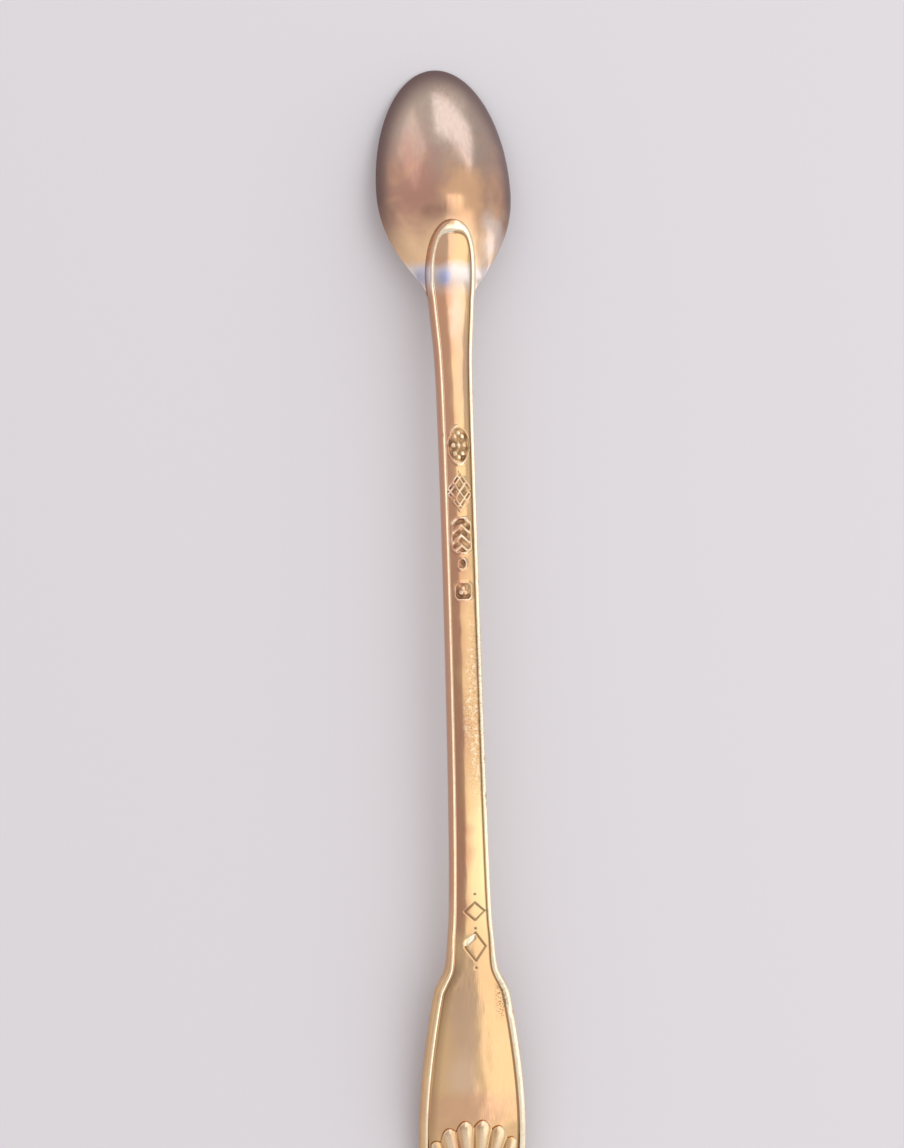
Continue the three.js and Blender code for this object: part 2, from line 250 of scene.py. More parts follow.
def metal(name):
    """A new metal material, as the material, its tree and its shader."""
    made = bpy.data.materials.new(name)
    made.use_nodes = True
    shader = made.node_tree.nodes["Principled BSDF"]
    shader.inputs["Metallic"].default_value = 1
    return made, made.node_tree, shader


def layered(tree, ground, layers):
    """A ground colour under layers of other colours, each given as its share and its hex code."""
    colour = linear(ground)
    for share, code in layers:
        colour = add(
            tree, "Mix", {0: share, 6: colour, 7: linear(code)}, out=2, data_type="RGBA"
        )
    return colour


def patch(tree, place, middle, reach, full):
    """Share of a soft oval patch, given its middle, its half-sizes across and along, and the share
    at its core, which is a fifth of its size."""
    middle = (middle[0] * MM, middle[1] * MM, 0)
    shrink = (1 / (reach[0] * MM), 1 / (reach[1] * MM), 0)
    away = add(tree, "VectorMath", {0: place, 1: middle}, operation="SUBTRACT")
    away = add(tree, "VectorMath", {0: away, 1: shrink}, operation="MULTIPLY")
    length = add(tree, "VectorMath", {0: away}, out="Value", operation="LENGTH")
    return add(
        tree, "MapRange", {0: length, 1: 0.2, 2: 1.0, 3: full, 4: 0.0},
        interpolation_type="SMOOTHSTEP",
    )


def fade(tree, place, start, end, first, last, ramp="SMOOTHSTEP"):
    """Share that goes from first to last between two places along the spoon."""
    along = add(tree, "SeparateXYZ", {0: place}, out="Y")
    return add(
        tree, "MapRange", {0: along, 1: start * MM, 2: end * MM, 3: first, 4: last},
        interpolation_type=ramp,
    )


def drifted(tree, place, size, reach):
    """The place moved about by a noise of that size, so that what is drawn on it wavers."""
    waver = add(
        tree, "TexNoise", {"Vector": place, "Scale": 1 / (size * MM), "Detail": 3.0}, out="Color"
    )
    back = add(tree, "VectorMath", {0: place, 1: (reach * MM,) * 3}, operation="SUBTRACT")
    return add(
        tree, "VectorMath", {0: waver, 1: (2 * reach * MM,) * 3, 2: back},
        operation="MULTIPLY_ADD",
    )


BAND_DRIFT = 2.5, 0.9  # size and reach
BAND_RISE = 60.2, 64.4, 0.0, 0.72  # two places along the spoon, and the shares there
BAND_FALL = 64.9, 67.0, 1.0, 0.0


def reflection_band(tree, place):
    """Share of the painted bluish-white reflection across the neck, drawn as bare silver: its edge
    is sharper towards the bowl.
    """
    wavering = drifted(tree, place, *BAND_DRIFT)
    from_stem = fade(tree, wavering, *BAND_RISE)
    to_bowl = fade(tree, wavering, *BAND_FALL)
    return add(tree, "Math", {0: from_stem, 1: to_bowl}, operation="MULTIPLY")


def scratched(tree, place, width, length, detail):
    """Noise drawn out along the spoon into scratches of about that width and length."""
    across, along = 1 / (width * MM), 1 / (length * MM)
    grain = add(tree, "Mapping", {"Vector": place, "Scale": (across, along, across)})
    return add(tree, "TexNoise", {"Vector": grain, "Scale": 1.0, "Detail": detail})


# Silver-gilt, raised, polished and rubbed thin: gold is left round the handle's tongue and in soft
# flecks, and pale grey silver shows towards the tip. The gold beside the tongue is brightened as a
# painted highlight, a rosy patch on the left is a painted reflection, and a brown patch on the right
# and the darkened edges are painted shade. Across the neck and on the heel's right a painted
# bluish-white reflection is drawn as bare silver with a bluish film. The scratches of polishing are
# a few hundredths of a millimetre wide. They are drawn coarser to show.
WORN, SILVER, ROSE_REFLECTION = "#b8937f", "#c5b1a4", "#bf897b"
GOLD, HEEL_GOLD_SHEEN, PAINTED_SHADE = "#e8b98f", "#fad0a6", "#745f5c"
PALE_REFLECTION, BLUE_REFLECTION = "#e4e2e8", "#aeb8e6"
# The rose patch on the bowl's left is a painted reflection.
ROSE_REFLECTION_PATCH = (-6, 80), (7, 13), 0.55  # middle, half-sizes and share
GOLD_PATCH = (2.5, 78), (6, 8), 0.8
# A brown patch on the bowl's right: painted shade.
SHADE_PATCH = (6.8, 89), (4.5, 11), 0.3
GLINT_PATCH = (7.6, 70.5), (4, 6.5), 0.4
BLUE_REFLECTION_PATCH = (-4.6, 64.2), (2.5, 2.6), 0.45
BOWL_CLOUD = 5, 4  # size and reach of the drift
SILVER_FADE = 77, 89, 0.0, 0.88  # two places along the spoon, and the shares there
# The gold beside the tongue is remaining gilding, brightened as a painted highlight.
HEEL_FADE = 68, 77, 0.95, 0.0
FLECK_FADE = 78, 90, 1.0, 0.25
EDGE_SHADE_FADE = 67, 77, 0.25, 1.0
FLECK_SIZE = 6.0
BOWL_SCRATCH = 0.5, 7.0  # width and length
BOWL_ROUGHNESS = 0.12, 0.27  # on the bright stretches and in the scratches
NOISE_LOW, NOISE_HIGH = 0.3, 0.7  # a noise seldom leaves this range
SCRATCH_DEPTH = 0.01

worn_gilt, tree, shader = metal("worn_silver_gilt")
place = add(tree, "TexCoord", out="Object")
cloud = drifted(tree, place, *BOWL_CLOUD)
flecks = add(
    tree, "TexNoise",
    {"Vector": place, "Scale": 1 / (FLECK_SIZE * MM), "Detail": 2.0, "Distortion": 0.5},
)
flecks = add(
    tree, "MapRange", {0: flecks, 1: 0.46, 2: 0.7, 3: 0.0, 4: 0.45},
    interpolation_type="SMOOTHSTEP",
)
near_heel = fade(tree, place, *FLECK_FADE, "LINEAR")
flecks = add(tree, "Math", {0: flecks, 1: near_heel}, operation="MULTIPLY")
golden = patch(tree, cloud, *GOLD_PATCH)
golden = add(tree, "Math", {0: golden, 1: flecks}, operation="MAXIMUM")
# Painted shade on the edges, from the tone, with less of it near the heel.
tone = add(tree, "Attribute", out="Fac", attribute_name="tone")
edge_shade = add(tree, "MapRange", {0: tone, 1: -1.0, 2: 0.0, 3: 0.95, 4: 0.0})
off_heel = fade(tree, place, *EDGE_SHADE_FADE, "LINEAR")
edge_shade = add(tree, "Math", {0: edge_shade, 1: off_heel}, operation="MULTIPLY")
# Painted bluish-white reflection: the band across the neck and a glint on the heel's right, drawn as
# bare silver.
glint_side = patch(tree, cloud, *GLINT_PATCH)
painted_reflection = add(tree, "Math", {0: reflection_band(tree, place), 1: glint_side}, operation="MAXIMUM")
colour = layered(tree, WORN, [
    (fade(tree, cloud, *SILVER_FADE), SILVER),
    (patch(tree, cloud, *ROSE_REFLECTION_PATCH), ROSE_REFLECTION),
    (golden, GOLD),
    (fade(tree, cloud, *HEEL_FADE), HEEL_GOLD_SHEEN),
    (patch(tree, cloud, *SHADE_PATCH), PAINTED_SHADE),
    (edge_shade, PAINTED_SHADE),
    (painted_reflection, PALE_REFLECTION),
    (patch(tree, place, *BLUE_REFLECTION_PATCH), BLUE_REFLECTION),
])
scratches = scratched(tree, place, *BOWL_SCRATCH, detail=3.0)
smooth, rough = BOWL_ROUGHNESS
gloss = add(tree, "MapRange", {0: scratches, 1: NOISE_LOW, 2: NOISE_HIGH, 3: smooth, 4: rough})
relief = add(
    tree, "Bump", {"Strength": 0.4, "Distance": SCRATCH_DEPTH * MM, "Height": scratches}
)
for name, socket in (("Base Color", colour), ("Roughness", gloss), ("Normal", relief)):
    tree.links.new(socket, shader.inputs[name])
bowl.data.materials.append(worn_gilt)
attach(bowl, "root")
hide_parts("bowl")


# Handle
# One bar of silver, forged to the stem's taper, the flat fiddle end and the thin tongue that laps
# over the bowl. A raised thread is struck along its edges on both faces, plain geometric punches
# and a bright-cut ornament are struck and cut into its back, and all of it is gilded.

handle_low, handle_high = (np.array(corner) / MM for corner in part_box("handle"))
end_y, heel_y = handle_low[1], handle_high[1]
fiddle_half_width = handle_high[0]
HEEL_SEAM = 0.36  # room for solder between the tongue and the bowl
TONGUE_HALF_WIDTH = 4.25
TONGUE_ARCH = 8.9  # length of the tongue's rounded end
TONGUE_ROOT = 1.6  # thickness of the tongue at the neck
TONGUE_TIP = 0.75
WAIST_HALF_WIDTH = 3.07
WAIST_FROM_NECK = 42.0
FOOT_HALF_WIDTH = 3.9  # of the stem, where the fiddle end starts
SHOULDER_HALF_WIDTH = 6.4
FIDDLE_LENGTH = 43.7
FIDDLE_WIDEST = 19.4  # from the handle's end
SHOULDER_SPREAD = 9.9  # length over which the stem spreads to the fiddle's shoulder
STEM_THICKNESS = 2.5
FIDDLE_THICKNESS = 1.9
ARCH_RISE = 7.5  # height of the stem's underside at the waist
END_RISE = 8.7  # pull of the curve from the waist down to the handle's end
NECK_PULL = 0.45  # pull of the curve from the neck up to the waist, as a share of its rise
EDGE_ROUND = 0.45
EDGE_LINE = 0.3  # height of the outermost line of the stem's side, as a share of its thickness
THREAD_CREST = 0.4  # width of the thread's top
THREAD_STEP = 0.2  # width of the sloping inner side of the thread
THREAD_DEPTH = 0.3
FIDDLE_THREAD = 1.5  # width of the whole thread on the fiddle end
HEEL_THREAD = 2.1  # width of the whole thread at the tongue's rounded end
HEEL_TURN = 2.0  # run over which the thread's inner line turns there
FACE_THREAD_FADE = 6.0  # length over which the front's thread dies out before the bowl
FIELD_CROWN = 0.3  # swell of the field between the threads
BUTT_STEP = 0.05  # length of the step from the stem up to the tongue's underside
thread_width = EDGE_ROUND + THREAD_CREST + THREAD_STEP
neck_y = tang_y - HEEL_SEAM
tongue_y = heel_y - TONGUE_ARCH
waist_y = neck_y - WAIST_FROM_NECK
shoulder_y = end_y + FIDDLE_LENGTH
foot_y = shoulder_y + SHOULDER_SPREAD
neck_thickness = BOWL_WALL + HEEL_SEAM + TONGUE_ROOT

EDGE_STEPS = 400
handle_side = curve_through(
    [
        (0, end_y, (0.68, 0), (1, 0.25)),
        (fiddle_half_width, end_y + FIDDLE_WIDEST, (0, 0.41), (0.93, 0.99)),
        (SHOULDER_HALF_WIDTH, shoulder_y, (0.81, 0.42), (0.74, 0.2)),
        (FOOT_HALF_WIDTH, foot_y, (0.9, 0.07), (1, 0.9)),
        (WAIST_HALF_WIDTH, waist_y, (0, 0.9), (0.13, 0.72)),
        (TANG_HALF_WIDTH, neck_y, (0.6, 0.35), (1, 0.65)),
        (TONGUE_HALF_WIDTH, tongue_y, (0, 0.66), (0.38, 1)),
        (0, heel_y),
    ],
    EDGE_STEPS,
)
edge_run = np.concatenate([[0], np.cumsum(np.hypot(*np.diff(handle_side, axis=0).T))])


def edge_at(run):
    """Points of the handle's edge at distances along it, running on round its two ends."""
    inside = np.where(run < 0, -run, np.where(run > edge_run[-1], 2 * edge_run[-1] - run, run))
    hand = np.where((run < 0) | (run > edge_run[-1]), -1, 1)
    x, y = (np.interp(inside, edge_run, handle_side[:, k]) for k in (0, 1))
    return np.stack([hand * x, y], axis=1)


# Stations along the edge, close together where the punches and the ornament are.
PUNCHED = (8.0, 40.0)
ORNAMENTED = (-55.0, -38.5)
FINE_STATION = 0.12
COARSE_STATION = 0.45
NORMAL_REACH = 0.7  # the edge's direction is taken over this length on each side
in_fine = [any(a < y < b for a, b in (PUNCHED, ORNAMENTED)) for y in handle_side[:, 1]]
pace = np.where(in_fine, FINE_STATION, COARSE_STATION)
paces = np.concatenate([[0], np.cumsum(np.diff(edge_run) / pace[1:])])
neck_run = np.interp(neck_y, handle_side[:, 1], edge_run)
runs = np.interp(np.linspace(0, paces[-1], round(paces[-1])), paces, edge_run)
runs = np.sort(np.append(runs, [neck_run, neck_run + BUTT_STEP]))
stations = edge_at(runs)
chords = edge_at(runs + NORMAL_REACH) - edge_at(runs - NORMAL_REACH)
inwards = np.stack([-chords[:, 1], chords[:, 0]], axis=1) / np.hypot(*chords.T)[:, None]


def handle_half(y):
    """Half-width of the handle."""
    return np.interp(y, stations[:, 1], stations[:, 0])


def cubic(t, a, b, c, d):
    u = 1 - t
    return a * u**3 + 3 * b * u * u * t + 3 * c * u * t * t + d * t**3


def face_height(y):
    """Height of the stem's underside."""
    if y > waist_y:
        pull = NECK_LIFT + NECK_PULL * (ARCH_RISE - NECK_LIFT)
        return cubic((neck_y - y) / WAIST_FROM_NECK, NECK_LIFT, pull, ARCH_RISE, ARCH_RISE)
    return cubic((waist_y - y) / (waist_y - end_y), ARCH_RISE, ARCH_RISE, END_RISE, 0)


def stem_thickness(y):
    if y > waist_y:
        grown = smoothstep(y, waist_y, neck_y)
        return STEM_THICKNESS + grown * (neck_thickness - STEM_THICKNESS)
    return FIDDLE_THICKNESS + smoothstep(y, end_y, waist_y) * (STEM_THICKNESS - FIDDLE_THICKNESS)


def crest(side, x, y):
    """Height of the thread's top on the back (side 1) or the front (side -1)."""
    if y <= neck_y:
        return face_height(y) + (stem_thickness(y) if side > 0 else 0)
    underside = bowl_back(x, y) + HEEL_SEAM
    thinned = (TONGUE_TIP - TONGUE_ROOT) * (y - neck_y) / (heel_y - neck_y)
    return underside + (TONGUE_ROOT + thinned if side > 0 else 0)


def edge_line(x, y):
    """Height of the outermost line of the side."""
    foot = crest(-1, x, y)
    return foot if y > neck_y else foot + EDGE_LINE * (crest(1, x, y) - foot)


def thread_at(y):
    """Width of the thread, which is broader on the fiddle end."""
    return FIDDLE_THREAD + (thread_width - FIDDLE_THREAD) * smoothstep(y, shoulder_y, foot_y)


def thread_depth(side, y):
    """Depth of the thread, which dies out on the front before the bowl."""
    return THREAD_DEPTH * (1 if side > 0 else smoothstep(neck_y - y, 0, FACE_THREAD_FADE))


def crown(x, y):
    """Swell of the field between the threads."""
    field = handle_half(y) - thread_at(y)
    if abs(x) >= field:
        return 0.0
    ends = smoothstep(y - end_y, 0, fiddle_half_width) * smoothstep(heel_y - y, 0, TONGUE_ARCH)
    return FIELD_CROWN * ends * (1 - (x / field) ** 2)


# Punches: outlines struck down into the stem, each with a raised geometric filling. A strike is
# uneven, and throws up a burr round the outline. An outline is a distance, less than 0 inside it,
# and a filling a height from 0 to 1.
PUNCH_DEPTH = 0.24
PUNCH_SOFTNESS = 0.14
PUNCH_REACH = 0.6  # a strike disturbs no metal further out than this
STRIKE_SIZE = 1.3  # spacing of the unevenness of a strike
STRIKE_UNEVEN = 1.2
BURR_HEIGHT = 0.05
BURR_PLACE, BURR_WIDTH = 0.15, 0.2
FILLING_HEIGHT = 0.85  # as a share of the depth
# Tones of the punches: a painted highlight on the filling and the burr, painted shade on the sunk
# floor.
FILLING_TONE, FLOOR_TONE, BURR_TONE = 0.8, -0.7, 0.35
CANT_SLOPE, CANT_PLACE = 0.7, 0.84  # of the cut corners
BEAD_RING = 0.95, 2.05  # half-sizes of the ring of beads
BEAD_CORE, BEAD_RADIUS = 0.25, 0.5
HEART = 0.5, 0.9  # half-sizes of the lozenge inside the ring
HEART_SLOPE = 0.25
LATTICE_TURN, LATTICE_SLANT = 3.9, 0.72  # radians a millimetre, and lean of the bars
CHEVRON_TURN, CHEVRON_SLANT = 3.7, 0.9
PETAL_LENGTH = 0.85


def oval(u, v, a, b):
    return (math.hypot(u / a, v / b) - 1) * min(a, b)


def lozenge(u, v, a, b):
    return (abs(u) / a + abs(v) / b - 1) * a * b / math.hypot(a, b)


def canted(u, v, a, b):
    corner = CANT_SLOPE * (abs(u) + abs(v) - CANT_PLACE * (a + b))
    return max(abs(u) - a, abs(v) - b, corner)


def beads(u, v):
    """A ring of eight beads round a small lozenge."""
    a, b = BEAD_RING
    turns = [k * math.pi / 4 for k in range(8)]
    near = min(math.hypot(u - a * math.cos(t), v - b * math.sin(t)) for t in turns)
    bead = smoothstep(-near, -BEAD_RADIUS, -BEAD_CORE)
    return max(bead, smoothstep(-lozenge(u, v, *HEART), 0, HEART_SLOPE))


def lattice(u, v):
    """Slanting bars that cross, 1.6 mm apart."""
    slants = (LATTICE_SLANT, -LATTICE_SLANT)
    bars = (math.cos(LATTICE_TURN * (u + slant * v)) for slant in slants)
    return smoothstep(max(bars), 0.45, 0.95)


def chevrons(u, v):
    """Bars bent at the middle line, 1.7 mm apart."""
    return smoothstep(math.cos(CHEVRON_TURN * (v + CHEVRON_SLANT * abs(u))), 0.0, 0.8)


def petals(u, v):
    """Three round petals."""
    reach = PETAL_LENGTH * abs(math.cos(1.5 * math.atan2(u, v))) ** 0.5
    return smoothstep(reach - math.hypot(u, v), -0.12, 0.15)


# Place across and along, outline, its half-sizes, and filling.
PUNCHES = [
    (0.1, 35.5, oval, 1.75, 2.9, beads),
    (0.0, 27.7, lozenge, 2.15, 3.0, lattice),
    (0.05, 20.3, canted, 1.5, 2.8, chevrons),
    (0.0, 15.5, oval, 0.6, 0.75, None),
    (0.1, 10.9, canted, 1.25, 1.3, petals),
]


def struck(x, y):
    """Height that the punches add to the stem, and tone that paints highlight and shade on them."""
    for cx, cy, outline, a, b, filling in PUNCHES:
        u, v = x - cx, y - cy
        if abs(u) > a + PUNCH_REACH or abs(v) > b + PUNCH_REACH:
            continue
        out = outline(u, v, a, b)
        raised = FILLING_HEIGHT * filling(u, v) if filling else 0.0
        uneven = 1 + STRIKE_UNEVEN * noise.noise(Vector((x, y, 0)) / STRIKE_SIZE)
        sunk = uneven * smoothstep(-out, -PUNCH_SOFTNESS / 2, PUNCH_SOFTNESS)
        burr = math.exp(-((out - BURR_PLACE) / BURR_WIDTH) ** 2) * max(0.0, 2 * uneven - 1)
        tone = sunk * (FILLING_TONE * raised + FLOOR_TONE * (1 - raised)) + BURR_TONE * burr
        return BURR_HEIGHT * burr - PUNCH_DEPTH * sunk * (1 - raised), tone
    return 0.0, 0.0


# Ornament: two cut lozenges between three dots, one side of the larger one cut broad and bright.
CUT_DEPTH = 0.1
CUT_WIDTH = 0.2
CUT_STEEPNESS = 1.6  # over 1, so that a cut has a flat floor
CUT_TONE = 0.9  # painted highlight in the broad cut, painted shade in the fine ones
BRIGHT_WIDTH = 0.85
DOT_SIZE = 0.28
ORNAMENT_X = 0.55
DOTS = (-40.2, -46.0, -52.7)
LOZENGES = ((-43.1, 1.75, 1.5, CUT_WIDTH), (-49.1, 1.8, 2.4, BRIGHT_WIDTH))


def cut(x, y):
    """Height that the engraved ornament adds to the stem, and tone that paints highlight and shade
    in its cuts.
    """
    u = x - ORNAMENT_X
    cuts = [(math.hypot(u, y - cy), DOT_SIZE) for cy in DOTS]
    for cy, a, b, broad in LOZENGES:
        v = y - cy
        width = CUT_WIDTH
        if u < 0 < v < b:
            width = max(width, broad * math.sin(math.pi * v / b))
        cuts.append((abs(lozenge(u, v, a, b)), width))
    near, width = min(cuts, key=lambda pair: pair[0] / pair[1])
    depth = min(1.0, max(0.0, CUT_STEEPNESS * (1 - near / width)))
    return -CUT_DEPTH * depth, (CUT_TONE if width > DOT_SIZE else -CUT_TONE) * depth


# Knocks along the edges: place across and along, radius and depth.
KNOCKS = [
    (3.1, -17.3, 0.5, 0.14), (3.2, -23.6, 0.6, 0.18), (3.0, -24.9, 0.35, 0.1),
    (2.95, 4.1, 0.4, 0.08), (3.15, -13.0, 0.4, 0.1), (3.0, 12.6, 0.45, 0.1),
    (3.05, -8.7, 0.3, 0.08), (-3.0, 37.2, 0.4, 0.09), (-3.05, -3.4, 0.35, 0.06),
    (6.9, -60.5, 0.5, 0.1), (2.0, -20.4, 0.3, 0.05), (2.1, -10.9, 0.35, 0.05),
]
RIPPLE_DEPTH = 0.012  # faint waviness that the forging leaves
RIPPLE_SIZE = 3.0


def knocked(x, y):
    deep = sum(d * math.exp(-((x - a) ** 2 + (y - b) ** 2) / r**2) for a, b, r, d in KNOCKS)
    return deep - RIPPLE_DEPTH * noise.noise(Vector((2 * x, y, 0)) / RIPPLE_SIZE)


# Places along a rib, from the edge in: round the edge, over the thread's crest and down its step,
# then shares of the way from there to the middle line.
EDGE_POINTS, CREST_POINTS, STEP_POINTS = 8, 4, 7
edge_turns = np.linspace(0, math.pi / 2, EDGE_POINTS).tolist()
crest_end = EDGE_ROUND + THREAD_CREST
thread_places = [EDGE_ROUND * (1 - math.cos(turn)) for turn in edge_turns]
thread_places += np.linspace(EDGE_ROUND, crest_end, CREST_POINTS)[1:].tolist()
thread_places += np.linspace(crest_end, thread_width, STEP_POINTS)[1:].tolist()
FIELD_STEPS = {1: 22, -1: 8}  # on the back and on the front
SPINE_STOP = 0.8  # the middle line stops short of each end by this share of the half-width there

# Painted light and wear: the right thread, on the side towards the light, is painted bright all over
# and partly rubbed, with painted shade on its inner step and in the corner at its foot. The left
# one has a painted highlight along the line where its inner step faces the light, and on the fiddle
# end painted brown shade at its foot.
EDGE_TONE = {1: 1.0, -1: 0.2}  # of the right and the left thread
STEP_SHADE = 1.8
CORNER_TONE = -0.8
CORNER = 0.35  # width of the painted shade in the corner
LIT_LINE = crest_end + 0.04  # where the painted highlight on the left thread is brightest
LIT_WIDTH = 0.27
LIT_TONE = 0.75
LEFT_STEP_SHADE = 0.2
LEFT_CORNER = 0.3
BROWN_SHADE_STEP, BROWN_SHADE_FIELD = 3.0, 1.2  # painted brown shade of the step and of the field beside it
BROWN_SHADE_BAND = 2.4
KNOCK_SHADE = 10.0
SHALLOW_KNOCK = 0.03  # a knock shallower than this gets no painted shade


def broadening(j):
    """How much broader the thread is at station j than on the stem."""
    return thread_at(stations[j][1]) / thread_width


def in_from_edge(j, d):
    """Plan point at a depth into the thread at station j. At the tongue's end the inner lines
    stand further back than the edge, and turn in an arch of their own."""
    p = Vector(stations[j]) + Vector(inwards[j]) * (d * broadening(j))
    past = max(0.0, d - EDGE_ROUND) / (thread_width - EDGE_ROUND)
    edge = min(d, EDGE_ROUND)
    limit = heel_y - edge - past * (HEEL_THREAD - edge)
    turn = max(0.0, HEEL_TURN * past - abs(p.y - limit))
    p.y = min(p.y, limit) - turn * turn / (4 * HEEL_TURN)
    return p


def thread_point(hand, side, j, k):
    """Point k of the thread at station j, on the right (hand 1) or the left (hand -1)."""
    d = thread_places[k]
    p = in_from_edge(j, d)
    z = crest(side, p.x, p.y)
    rise = 1.0
    if k < len(edge_turns):
        rise = math.sin(edge_turns[k])
        foot = edge_line(p.x, p.y)
        z = foot + (z - foot) * rise
        tone = EDGE_TONE[hand] * rise
    else:
        sunk = smoothstep(d, crest_end, thread_width)
        depth = thread_depth(side, stations[j][1]) * sunk
        z -= side * depth
        tone = EDGE_TONE[hand]
        if hand > 0:
            tone -= STEP_SHADE * depth / THREAD_DEPTH
        else:
            tone += LIT_TONE * math.exp(-((d - LIT_LINE) / LIT_WIDTH) ** 2)
            tone -= (LEFT_STEP_SHADE + BROWN_SHADE_STEP * (broadening(j) - 1)) * sunk**3
    if side > 0:
        knock = rise * knocked(hand * p.x, p.y)
        z -= knock
        # Painted shade in the deeper knocks.
        tone -= KNOCK_SHADE * max(0.0, knock - SHALLOW_KNOCK)
    return p.x, p.y, z, tone


def field_point(hand, side, j, t):
    """Point of the field at station j, at a share of the way from the thread to the middle."""
    step = in_from_edge(j, thread_width)
    low, high = end_y + SPINE_STOP * fiddle_half_width, heel_y - SPINE_STOP * TONGUE_HALF_WIDTH
    spine = Vector((0, min(high, max(low, step.y))))
    p = step.lerp(spine, t)
    depth = thread_depth(side, stations[j][1])
    z = crest(side, p.x, p.y) - side * depth * (1 - crown(p.x, p.y) / THREAD_DEPTH)
    gone = t * (step - spine).length
    # Painted shade in the corner at the thread's foot, and on the left of the flat end a band of
    # painted brown shade.
    tone = CORNER_TONE * max(0.0, 1 - gone / CORNER) * depth / THREAD_DEPTH
    if hand < 0:
        brown_shade = BROWN_SHADE_FIELD * (broadening(j) - 1)
        tone = (LEFT_CORNER + brown_shade) * tone - brown_shade * smoothstep(-gone, -BROWN_SHADE_BAND, 0)
    if side > 0:
        lift, mark = struck(hand * p.x, p.y) if p.y > 0 else cut(hand * p.x, p.y)
        z += lift - knocked(hand * p.x, p.y)
        tone = mark if abs(mark) > abs(tone) else tone
    return p.x, p.y, z, tone


# Once round the section: in from the right edge over the back, out to the left edge, and back
# over the front.
back_ks = list(range(len(thread_places) + FIELD_STEPS[1]))
front_ks = list(range(len(thread_places) + FIELD_STEPS[-1]))
around = [(1, 1, k) for k in back_ks] + [(-1, 1, k) for k in back_ks[-2::-1]]
around += [(-1, -1, k) for k in front_ks[1:]] + [(1, -1, k) for k in front_ks[-2::-1]]


def handle_point(i, j):
    hand, side, k = around[i]
    if k < len(thread_places):
        x, y, z, tone = thread_point(hand, side, j, k)
    else:
        t = (k - len(thread_places) + 1) / FIELD_STEPS[side]
        x, y, z, tone = field_point(hand, side, j, t)
    return hand * x, y, z, tone


handle = finished("handle_bar", sheet(len(around), len(stations), handle_point))

# Silver-gilt, struck and polished: warm gold with painted light laid over it. The rose on the stem's
# left is mottled tone and a painted reflection of the dimmer left of the room, and there is more
# rose above the shell. Grey patches high on the stem, on the tongue and down the middle of the flat
# end are painted reflections, and paler patches on the lower stem's right, along the neck and low on
# the flat end are painted highlights. A painted bluish-white reflection crosses the neck, drawn as
# bare silver.
# Edges are paler with painted highlights and rubbing, and recesses brown with painted shade. Fine
# scratches run along it, drawn coarser so that they show. The stem's right half has a satin patch
# with pits and painted glints.
GILT, LIT_GILT, ROSE_REFLECTED = "#dfb98b", "#ebd4a2", "#cb997b"
GREY_REFLECTION, NECK_SHEEN = "#d0ae90", "#d8c2aa"
PALE_SHEEN, FLUSHED = "#e3c1a2", "#dcae8c"
RUBBED_AND_LIT, SHADE_AND_DIRT = "#fbf0d8", "#77563c"
# Painted highlight: paler gilt on the lower stem's right.
LIT_STEM_PATCH = (1.8, -34), (4, 18), 0.9  # middle, half-sizes and share
# Painted sheen: a paler patch along the middle of the neck.
NECK_SHEEN_PATCH = (0.7, 57), (2.2, 8), 0.9
# Painted reflections: grey patches on the flat end, high on the stem and on the tongue.
GREY_END = (-1.4, -62), (4, 18), 0.85
GREY_STEM = (1.6, 48), (3, 12), 0.8
GREY_TONGUE = (-1, 69.5), (3, 5), 0.7
# Painted sheen: a pale patch low on the flat end.
END_SHEEN_PATCH = (-2, -71), (4, 6), 0.8
FLUSH_PATCH = (0.5, -76.8), (11, 4.6), 0.85
# Painted bluish reflection at the neck.
HANDLE_BLUE_REFLECTION = (-1.4, 63.9), (1.6, 2.0), 0.75
SATIN_PATCH = (1.7, -9), (2.6, 22), 1.0
SMUDGE_PATCH = (5.0, -58), (1.5, 4.5), 2.2
HANDLE_CLOUD = 6, 1.5  # size and reach of the drift
STEM_FADE = -50, -30, -0.45, 0.0  # two places along the spoon, and what is added there
MOTTLE_SIZE = 12.0
SPECKLE_SIZE = 0.7
PIT_SIZE = 0.3
PIT_HEIGHT = 9.0  # as a multiple of the scratches' depth
HANDLE_SCRATCH = 0.2, 2.4  # width and length
HANDLE_ROUGHNESS = 0.07, 0.18
SATIN_ROUGHNESS, BAND_ROUGHNESS = 0.12, 0.14  # added to it
CAST_FADE = -80, -82, 0.0, 0.14  # two places along the spoon, and what is added there

gilt, tree, shader = metal("silver_gilt")
place = add(tree, "TexCoord", out="Object")
cloud = drifted(tree, place, *HANDLE_CLOUD)
grey_reflection = patch(tree, cloud, *GREY_END)
for spot in (GREY_STEM, GREY_TONGUE):
    grey_reflection = add(tree, "Math", {0: grey_reflection, 1: patch(tree, cloud, *spot)}, operation="MAXIMUM")

# Mottled rose, more of it on the left and less on the flat end: partly tone that varies at random,
# and on the left a painted reflection of the dimmer side of the room.
mottle = add(
    tree, "TexNoise",
    {"Vector": place, "Scale": 1 / (MOTTLE_SIZE * MM), "Detail": 4.0, "Distortion": 0.6},
)
across = add(tree, "SeparateXYZ", {0: place}, out="X")
rightness = add(tree, "MapRange", {0: across, 1: -2 * MM, 2: 2 * MM, 3: -0.35, 4: 0.4})
rosier = add(tree, "Math", {0: mottle, 1: rightness}, operation="SUBTRACT")
on_stem = fade(tree, place, *STEM_FADE, "LINEAR")
rosier = add(tree, "Math", {0: rosier, 1: on_stem}, operation="ADD")
rosier = add(tree, "MapRange", {0: rosier, 1: 0.38, 2: 0.68, 3: 0.0, 4: 0.95})

